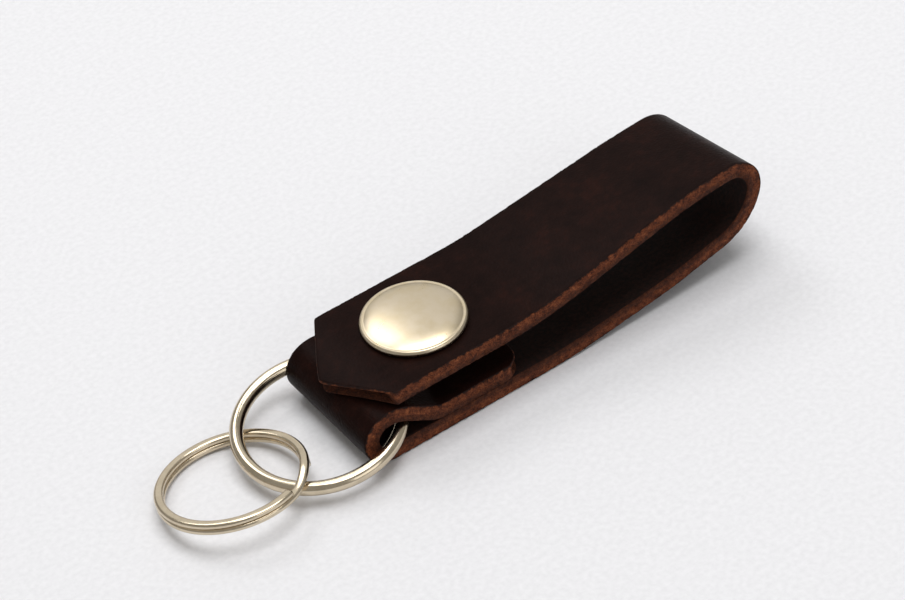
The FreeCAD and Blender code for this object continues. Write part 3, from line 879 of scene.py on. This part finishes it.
    def build_piece(self, name: str, start: float, end: float, ends: tuple[End, End],
                    **outline: float) -> Piece:
        """Mesh one stretch of the strap with both ends closed.

        Args:
            name: the object's name.
            start: u of the piece's first section.
            end: u of its last section.
            ends: how the first and the last end are finished.
            outline: point_lag or corner, as stretch takes them.

        Returns:
            The new object.
        """
        u, y, w = self.stretch(start, end, ends, **outline)
        rough = self.roughened(self.surface(u, y, w))
        points = self.pressed(rough, w)
        count, wide = u.shape
        index = np.arange(count * wide).reshape(count, wide)
        loop = np.hstack([index, index[:, :1]])
        faces, finish = [grid_faces(loop)], [self.kinds(u.shape, ends)]
        outlines = points.reshape(-1, 3)
        places, depth = [outlines], [(1 - w).ravel()]
        creased = smooth(self.tightness * self.crease_radius - self.crease_start)
        bent = [np.interp(u, self.u, creased).ravel()]
        used = count * wide
        share_y = np.linspace(0, 1, self.columns)[1:-1]
        for row in (0, count - 1):
            grid, left, right = self.cap(index[row], used)
            share = np.broadcast_to(share_y, left.shape)
            wide_share = share[..., None]
            places.append((outlines[left] * (1 - wide_share) + outlines[right] * wide_share).reshape(-1, 3))
            depth.append((depth[0][left] * (1 - share) + depth[0][right] * share).ravel())
            bent.append(np.zeros(left.size))
            quads = grid_faces(grid)
            faces.append(quads if row else quads[:, ::-1])
            finish.append(np.ones(len(quads), dtype=int))
            used += left.size
        crisp = [np.stack([loop[row][:-1], loop[row][1:]], axis=1)
                 for row, kind in zip((0, count - 1), ends) if kind is End.JOINT]
        self.borders[name] = (points[0], points[-1])
        return make_piece(name, np.vstack(places), np.vstack(faces), [self.grain, self.cut, self.flesh],
                          np.concatenate(finish), np.vstack(crisp),
                          {"depth_share": np.concatenate(depth), "bend_share": np.concatenate(bent)})

    # -- what presses into the leather
    def pressed(self, points: Array, w: Array) -> Array:
        """Press the hardware into the leather.

        The large ring's wire pushes leather out of its way, radially from the wire. The post's
        flange and the stud and socket press their seats flat about the snap's axis.

        Args:
            points: places on the strap.
            w: share of the way from the flesh to the grain, for each.

        Returns:
            The pressed places.
        """
        seats, grain_half = self.seats, w > 0.5
        points = self.rings.pushed_off(points)
        radius = np.hypot(points[..., 0], points[..., 1])
        z = points[..., 2]
        flange = box_mm("stud_post")[1][0]
        sunk = smooth((flange + seats.flange_margin - radius) / seats.flange_fade) * seats.flange_depth
        z = np.where((z < seats.flange_reach) & grain_half, np.maximum(z, sunk), z)
        stud_low, stud_high = box_mm("snap_stud")
        socket_low, socket_high = box_mm("snap_socket")
        under_socket = np.where(radius < socket_high[0] + seats.socket_margin,
                                socket_low[2] - seats.socket_room, np.inf)
        ceiling = np.where(radius < stud_high[0] + seats.stud_margin, stud_low[2] - seats.stud_room,
                           under_socket)
        ceiling = np.where(grain_half, ceiling, ceiling - seats.thinning)
        z = np.where(z < socket_high[2], np.minimum(z, ceiling), z)
        out = points.copy()
        out[..., 2] = z
        return out

    def build(self) -> None:
        """Make the three pieces, and join the flap and the lower run to their bodies.

        The loop's end is baked into place and joined to no body.
        """
        lag = self.point / math.cos(math.radians(self.tip_drop))
        flap = self.build_piece("leather_flap", 0.0, self.flap_end, (End.EDGE, End.JOINT), point_lag=lag)
        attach(flap, "flap")
        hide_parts("strap_flap")
        both = (End.JOINT, End.JOINT)
        loop_end = self.build_piece("leather_loop_end", self.flap_end, self.bend_end, both)
        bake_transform(loop_end)
        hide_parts("strap_bend")
        run = self.build_piece("leather_lower_run", self.bend_end, float(self.u[-1]), (End.JOINT, End.EDGE),
                               corner=self.fold_back_corner)
        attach(run, "base")
        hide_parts("strap_base")


# ------------------------------------------------------------------ rings
@dataclass
class RingPlaces:
    """Where the two rings lie, worked out from the frame's joints and boxes."""

    wire: float = 1.0
    leather_room: float = 0.06
    coil_width: float = 1.35
    coil_height: float = 0.85
    hair_gap: float = 0.04

    def __post_init__(self) -> None:
        """Read the large ring's pose from its joint and the radii from the boxes."""
        joints = {j["name"]: j for j in frame["joints"]}
        turn = joints["large_ring_turn"]
        self.large_centre = np.array(turn["pos_m"]) / MM
        self.large_normal = np.array(turn["axis"]) / np.linalg.norm(turn["axis"])
        low, high = box_mm("large_ring")
        self.large_mean = self.mean_radius(float(high[0] - low[0]), float(self.large_normal[0]))

    def mean_radius(self, span: float, lean: float) -> float:
        """Mean radius R of a tilted ring that spans 2 (R sqrt(1 - lean squared) + wire) along X."""
        return (span / 2 - self.wire) / math.sqrt(1 - lean ** 2)

    @staticmethod
    def basis(normal: Array) -> Array:
        """Rows of a turn that takes +Z to a normal by the shortest way."""
        turn = Vector((0, 0, 1)).rotation_difference(Vector(normal.tolist())).to_matrix()
        return np.array(turn)

    def pushed_off(self, points: Array) -> Array:
        """Move points that lie in the large ring's wire out to its surface, away from its middle line."""
        local = (points - self.large_centre) @ self.basis(self.large_normal)
        flat = np.hypot(local[..., 0], local[..., 1])
        off = np.stack([flat - self.large_mean, local[..., 2]], axis=-1)
        far = np.hypot(off[..., 0], off[..., 1])
        reach = self.wire + self.leather_room
        grow = np.where(far < reach, reach / np.maximum(far, TINY), 1.0)
        moved_flat = self.large_mean + off[..., 0] * grow
        scale = moved_flat / np.maximum(flat, TINY)
        moved = np.stack([local[..., 0] * scale, local[..., 1] * scale, off[..., 1] * grow], axis=-1)
        return moved @ self.basis(self.large_normal).T + self.large_centre


@dataclass
class Rings:
    """Large round-wire ring and small split ring."""

    metal: Material
    places: RingPlaces
    around: int = 320
    section_points: int = 28
    step_start: float = 295.0
    step_end: float = 330.0
    end_gap: float = 2.0
    end_round: float = 0.25
    end_blunt: float = 0.92
    corner: float = 0.38
    corner_rows: int = 5

    def __post_init__(self) -> None:
        """Work out the split ring's pose and its mean radius from its CAD mesh."""
        self.split_centre, normal, outside = self.split_fit()
        self.split_basis = self.places.basis(normal)
        self.small_mean = outside - self.places.coil_width / 2

    def large(self) -> Piece:
        """Sweep a circle round a circle: radius R + r cos b at height r sin b."""
        places = self.places
        a = np.linspace(0, 2 * math.pi, self.around, endpoint=False)[:, None]
        b = np.linspace(0, 2 * math.pi, self.section_points, endpoint=False)[None, :]
        flat = places.large_mean + places.wire * np.cos(b)
        rise = places.wire * np.sin(b) + 0 * a
        local = np.stack([flat * np.cos(a), flat * np.sin(a), rise], axis=-1)
        points = local @ places.basis(places.large_normal).T + places.large_centre
        index = np.arange(a.size * b.size).reshape(a.size, b.size)
        index = np.hstack([index, index[:, :1]])
        index = np.vstack([index, index[:1]])
        return make_piece("large_wire_ring", points.reshape(-1, 3), grid_faces(index), [self.metal])

    def flat_section(self) -> Array:
        """Rounded-rectangle outline of the split ring's wire, as radial and upward offsets."""
        w, h, c = self.places.coil_width / 2, self.places.coil_height / 2, self.corner
        quarter = np.radians(np.linspace(0, 90, self.corner_rows))
        rounds = []
        for k, (sx, sz) in enumerate(((1, 1), (-1, 1), (-1, -1), (1, -1))):
            bow = quarter + k * math.pi / 2
            rounds.append(np.stack([sx * (w - c) + c * np.cos(bow), sz * (h - c) + c * np.sin(bow)], axis=1))
        return np.vstack(rounds)

    def split(self) -> Piece:
        """Sweep the flat wire through its two coils and the step between them.

        The wire's height is minus or plus half a coil and a hair gap, and eases from one to the
        other over the step. Its two ends are dressed round by shrinking the last sections.
        """
        level = (self.places.coil_height + self.places.hair_gap) / 2
        first = self.step_end - 360 + self.end_gap
        last = self.step_start + 360 - self.end_gap
        degrees = np.linspace(first, last, 2 * self.around)
        climb = smooth((degrees - self.step_start) / (self.step_end - self.step_start))
        height = (-level + 2 * level * climb)[:, None]
        section = self.flat_section()
        from_end = np.minimum(degrees - first, last - degrees) * math.pi / 180 * self.small_mean
        shrink = np.sqrt(1 - np.clip(1 - from_end / self.end_round, 0, self.end_blunt) ** 2)[:, None]
        a = np.radians(degrees)[:, None]
        flat = self.small_mean + section[None, :, 0] * shrink
        rise = height + section[None, :, 1] * shrink
        local = np.stack([flat * np.cos(a), flat * np.sin(a), rise], axis=-1)
        points = (local @ self.split_basis.T + self.split_centre).reshape(-1, 3)
        rows, wide = local.shape[:2]
        index = np.arange(rows * wide).reshape(rows, wide)
        faces = [grid_faces(np.hstack([index, index[:, :1]]))]
        for row, flip in ((0, True), (rows - 1, False)):
            ring = index[row]
            half = wide // 2
            ladder = np.stack([ring[:half], ring[half:][::-1]], axis=0)
            quads = grid_faces(ladder)
            faces.append(quads[:, ::-1] if flip else quads)
        return make_piece("small_split_ring_wire", points, np.vstack(faces), [self.metal])

    def split_fit(self) -> tuple[Array, Array, float]:
        """Centre, normal and outside radius of the split ring, fitted to its CAD mesh.

        The plane z = a x + b y + c is a least-squares fit to the mesh, the centre is the middle
        of its box in plan, and the radius is the largest distance from there in the plane.
        """
        mesh = frame["nodes"]["small_split_ring"].data
        places = np.zeros(len(mesh.vertices) * 3)
        mesh.vertices.foreach_get("co", places)
        places = places.reshape(-1, 3) / MM
        middle = (places.max(axis=0) + places.min(axis=0)) / 2
        columns = np.c_[places[:, :2] - middle[:2], np.ones(len(places))]
        fit = np.linalg.lstsq(columns, places[:, 2], rcond=None)[0]
        normal = np.array([-fit[0], -fit[1], 1.0])
        normal = normal / np.linalg.norm(normal)
        centre = np.array([middle[0], middle[1], fit[2]])
        arms = places - centre
        in_plane = arms - (arms @ normal)[:, None] * normal
        return centre, normal, float(np.linalg.norm(in_plane, axis=1).max())

    def build(self) -> None:
        """Make both rings and put them on their bodies."""
        large = self.large()
        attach(large, "large_ring")
        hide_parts("large_ring")
        small = self.split()
        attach(small, "small_ring")
        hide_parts("small_split_ring")


# ------------------------------------------------------------------ snap
@dataclass
class Snap:
    """Cap snap: the drawn cap, and the CAD's own barrel, socket, spring, stud and post."""

    cap_metal: Material
    inner_metal: Material
    wire_metal: Material
    rim: float = 0.5
    sheet: float = 0.4
    rim_step: float = 0.05
    shoulder_share: float = 0.8
    edge_share: float = 0.25
    roll_start: float = 75.0
    dome_rows: int = 40
    rim_rows: int = 18
    steps: int = 160

    def cap(self) -> Piece:
        """Turn the cap's section: low dome, soft shoulder, groove and rolled rim.

        The dome falls from the crown by (1 - e) s squared + e s to the eighth, where s is the
        share of the way out and e is edge_share: nearly a sphere, with a turned-down edge.
        """
        low, high = box_mm("snap_cap")
        radius, base, crown = (float(high[0] - low[0]) / 2, float(low[2]), float(high[2]))
        rim_r, rim_z = radius - self.rim, base + self.rim
        share = np.linspace(0, 1, self.dome_rows)
        top = rim_z + self.rim * self.shoulder_share
        fall = (1 - self.edge_share) * share ** 2 + self.edge_share * share ** 8
        outside = np.stack([share * (rim_r - self.rim_step), crown - (crown - top) * fall], axis=1)
        roll = np.radians(np.linspace(self.roll_start, -90, self.rim_rows))
        rim = np.stack([rim_r + self.rim * np.cos(roll), rim_z + self.rim * np.sin(roll)], axis=1)
        inside = (outside - [0.0, self.sheet])[::-1]
        return turned_piece("drawn_cap", np.vstack([outside, rim, inside]), self.steps, self.cap_metal)

    def build(self) -> None:
        """Make the cap and dress the hidden pieces."""
        cap = self.cap()
        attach(cap, "flap")
        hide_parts("snap_cap")
        for node in ("cap_barrel", "snap_socket", "snap_stud", "stud_post"):
            dress(node, self.inner_metal)
        dress("socket_spring", self.wire_metal)


def dress(node: str, material: Material) -> None:
    """Give a CAD node its finish."""
    piece = frame["nodes"][node]
    if not piece.material_slots:
        piece.data.materials.append(material)
    for holder in piece.material_slots:
        holder.material = material
    LOG.info("%s: dressed in %s", node, material.name)


# ------------------------------------------------------------------ studio
@dataclass(frozen=True)
class Studio:
    """Pale floor, soft lights and the camera."""

    azimuth: float = -29.351
    elevation: float = 41.23
    roll: float = -8.61
    focal_px: float = 3000.0
    image_px: float = 905.0
    sensor_mm: float = 36.0
    distance: float = 413.83
    aim_right: float = 5.57
    aim_up: float = 10.594
    floor_half: float = 3.0
    floor_gap: float = 0.00002
    sky: str = "#f4f2ee"
    sky_strength: float = 0.38

    def camera(self) -> None:
        """Place the camera by its bearing, height and roll, aimed past the snap's axis."""
        a, e, r = (math.radians(v) for v in (self.azimuth, self.elevation, self.roll))
        forward = Vector((-math.sin(a) * math.cos(e), math.cos(a) * math.cos(e), -math.sin(e)))
        right = Vector((math.cos(a), math.sin(a), 0))
        up = right.cross(forward)
        turned_right = right * math.cos(r) + up * math.sin(r)
        turned_up = up * math.cos(r) - right * math.sin(r)
        aim = right * self.aim_right + up * self.aim_up
        place = (aim - forward * self.distance) * MM
        data = bpy.data.cameras.new("camera")
        data.sensor_width = self.sensor_mm
        data.lens = self.sensor_mm * self.focal_px / self.image_px
        data.clip_start, data.clip_end = 0.01, 20.0
        camera = bpy.data.objects.new("camera", data)
        columns = Matrix((turned_right, turned_up, -forward)).transposed()
        camera.matrix_world = Matrix.Translation(place) @ columns.to_4x4()
        bpy.context.scene.collection.objects.link(camera)
        bpy.context.scene.camera = camera

    def floor(self) -> None:
        """Lay a plain pale floor at the object's lowest point."""
        s, z = self.floor_half, min(0.0, CAD_BOX[0][2]) - self.floor_gap
        mesh = bpy.data.meshes.new("floor")
        mesh.from_pydata([(-s, -s, z), (s, -s, z), (s, s, z), (-s, s, z)], [], [(0, 1, 2, 3)])
        mesh.materials.append(MattPaper().build())
        floor = bpy.data.objects.new("floor", mesh)
        bpy.context.scene.collection.objects.link(floor)
        floor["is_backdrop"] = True

    def light(self, name: str, place: tuple[float, float, float], size: float, watts: float) -> None:
        """Add a square area light that faces the object.

        Args:
            name: the light's name.
            place: where it stands, in metres.
            size: its side in metres.
            watts: its power.
        """
        data = bpy.data.lights.new(name, "AREA")
        data.size = size
        data.energy = watts
        lamp = bpy.data.objects.new(name, data)
        lamp.location = place
        lamp.rotation_mode = "QUATERNION"
        lamp.rotation_quaternion = (-Vector(place)).to_track_quat("-Z", "Y")
        bpy.context.scene.collection.objects.link(lamp)

    def build(self) -> None:
        """Set up the whole studio."""
        self.camera()
        self.floor()
        self.light("key_softbox", (-0.02, 0.50, 0.62), 0.34, 1.1)
        self.light("overhead_softbox", (0.10, 0.00, 0.85), 0.55, 4.3)
        self.light("back_reflector", (0.42, 0.76, 0.55), 0.80, 0.9)
        self.light("front_fill", (0.15, -0.80, 0.40), 0.50, 0.9)
        world = bpy.data.worlds.new("studio")
        world.use_nodes = True
        background = world.node_tree.nodes["Background"]
        feed(world.node_tree, background, {"Color": linear(self.sky), "Strength": self.sky_strength})
        bpy.context.scene.world = world
        bpy.context.scene.view_settings.view_transform = "Standard"


# ------------------------------------------------------------------ everything
def write_sizes() -> None:
    """Work out the CAD box and the visual model's box."""
    boxes = {"cad": CAD_BOX, "visual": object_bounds()}
    boxes = {key: [list(corner) for corner in box] for key, box in boxes.items()}


def main() -> None:
    """Build the fob piece by piece."""
    logging.basicConfig(level=logging.INFO, format="%(message)s")
    strap = Strap(GrainLeather().build(), CutEdge().build(), FleshSide().build())
    strap.build()
    Rings(Nickel("polished_nickel_wire").build(), strap.rings).build()
    Snap(Nickel("satin_nickel_cap", dull="#d2c2a3", roughness=0.27, smear=0.05).build(),
         Nickel("drawn_nickel", roughness=0.24).build(),
         Nickel("spring_wire", colour="#b9a67f", dull="#9c8a66", roughness=0.3).build()).build()
    Studio().build()
    write_sizes()


if __name__ == "__main__":
    main()
